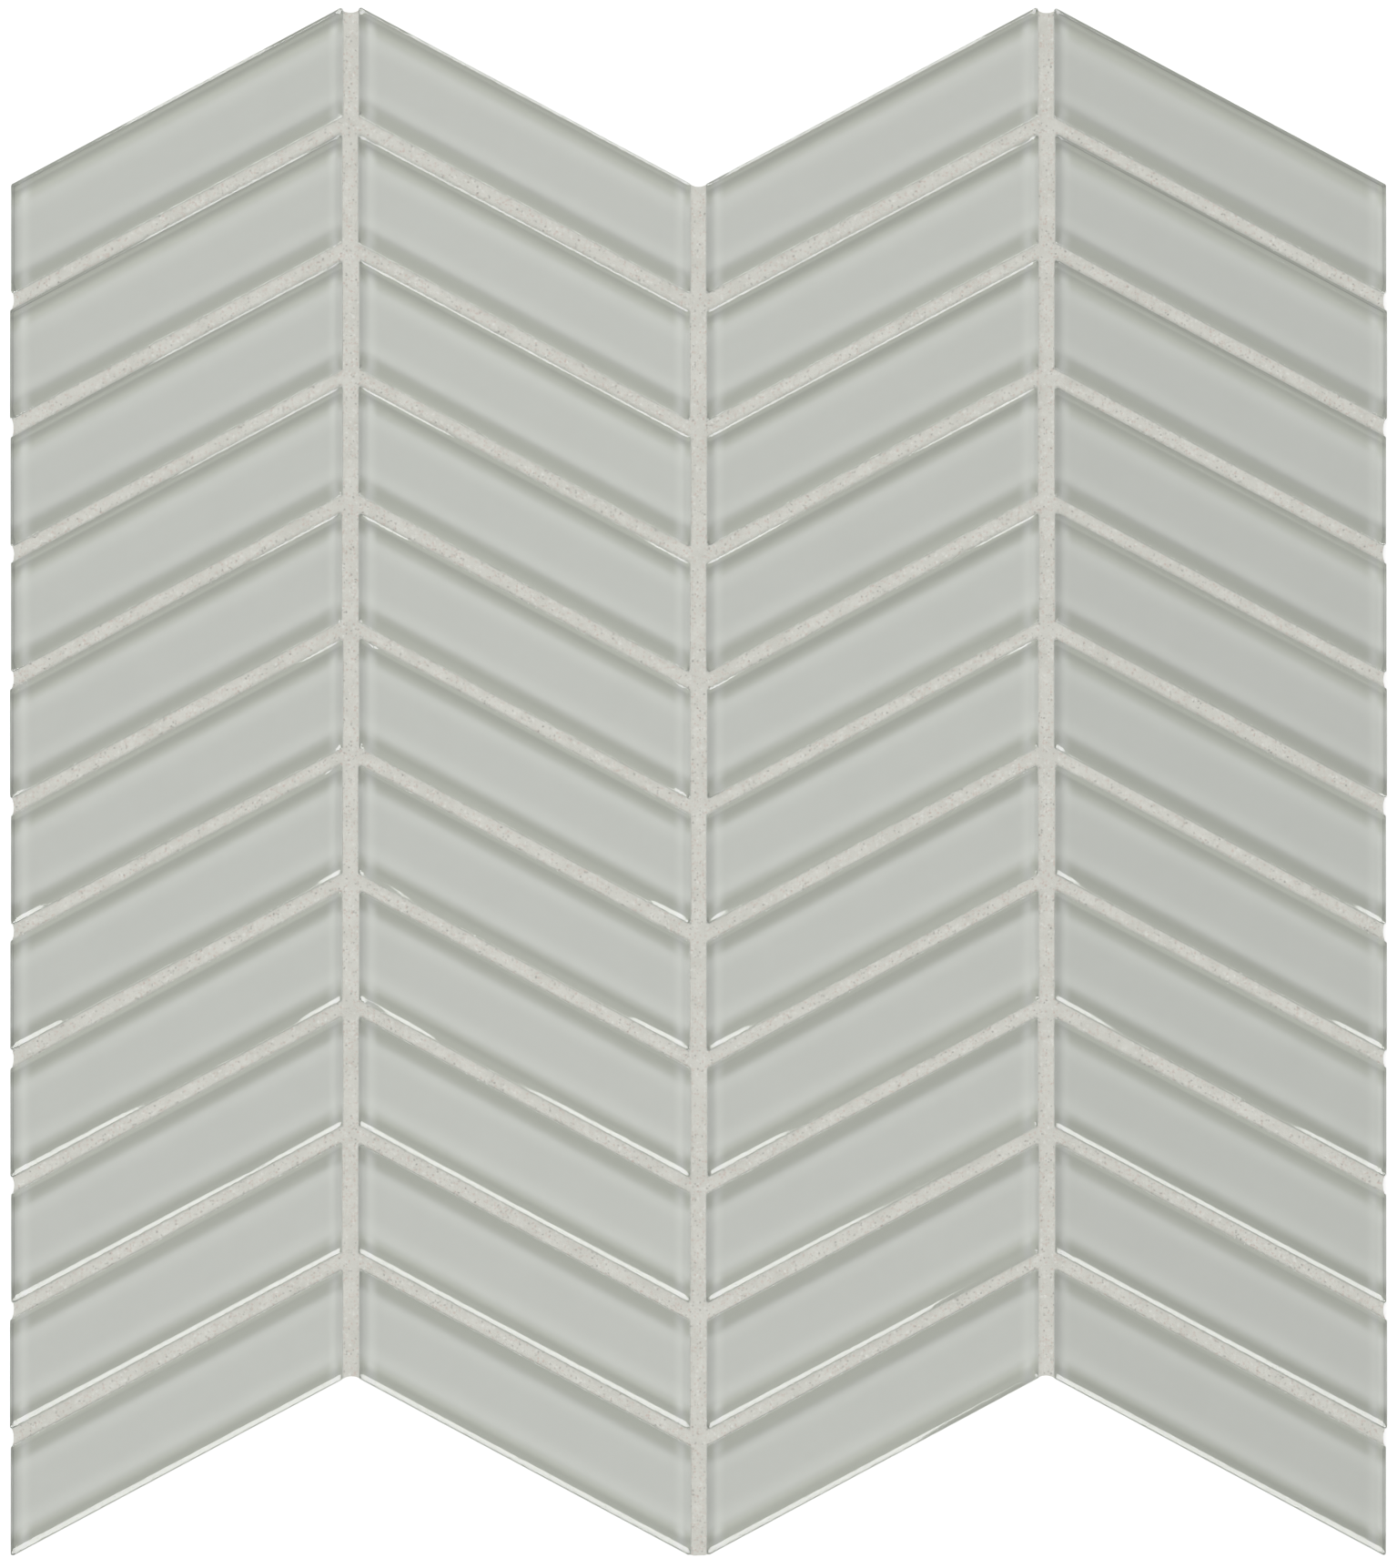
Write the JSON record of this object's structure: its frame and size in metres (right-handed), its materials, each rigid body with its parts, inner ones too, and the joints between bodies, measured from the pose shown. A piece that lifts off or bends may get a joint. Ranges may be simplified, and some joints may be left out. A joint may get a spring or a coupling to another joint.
{
  "type": "chevron wall tile",
  "caption": "Chevron mosaic sheet for walls: slanted, back-coated glass chips in rising and falling columns on a fibre mesh, with sanded grout in the joints.",
  "frame": {"origin": "middle of the sheet's outline, on the plane of the mesh at the back", "axes": "+Z out of the glass face, +Y up the sheet along its columns, +X across the columns"},
  "size_m": [0.3016, 0.3396, 0.0085],
  "materials": {
    "glass": "polished",
    "grout": "matte",
    "mesh": "matte"
  },
  "bodies": {
    "root": {"chip_c1_r01": "glass", "chip_c1_r02": "glass", "chip_c1_r03": "glass", "chip_c1_r04": "glass", "chip_c1_r05": "glass", "chip_c1_r06": "glass", "chip_c1_r07": "glass", "chip_c1_r08": "glass", "chip_c1_r09": "glass", "chip_c1_r10": "glass", "chip_c1_r11": "glass", "chip_c2_r01": "glass", "chip_c2_r02": "glass", "chip_c2_r03": "glass", "chip_c2_r04": "glass", "chip_c2_r05": "glass", "chip_c2_r06": "glass", "chip_c2_r07": "glass", "chip_c2_r08": "glass", "chip_c2_r09": "glass", "chip_c2_r10": "glass", "chip_c2_r11": "glass", "chip_c3_r01": "glass", "chip_c3_r02": "glass", "chip_c3_r03": "glass", "chip_c3_r04": "glass", "chip_c3_r05": "glass", "chip_c3_r06": "glass", "chip_c3_r07": "glass", "chip_c3_r08": "glass", "chip_c3_r09": "glass", "chip_c3_r10": "glass", "chip_c3_r11": "glass", "chip_c4_r01": "glass", "chip_c4_r02": "glass", "chip_c4_r03": "glass", "chip_c4_r04": "glass", "chip_c4_r05": "glass", "chip_c4_r06": "glass", "chip_c4_r07": "glass", "chip_c4_r08": "glass", "chip_c4_r09": "glass", "chip_c4_r10": "glass", "chip_c4_r11": "glass", "grout": "grout", "mesh_warp": "mesh", "mesh_weft": "mesh"}
  },
  "joints": []
}
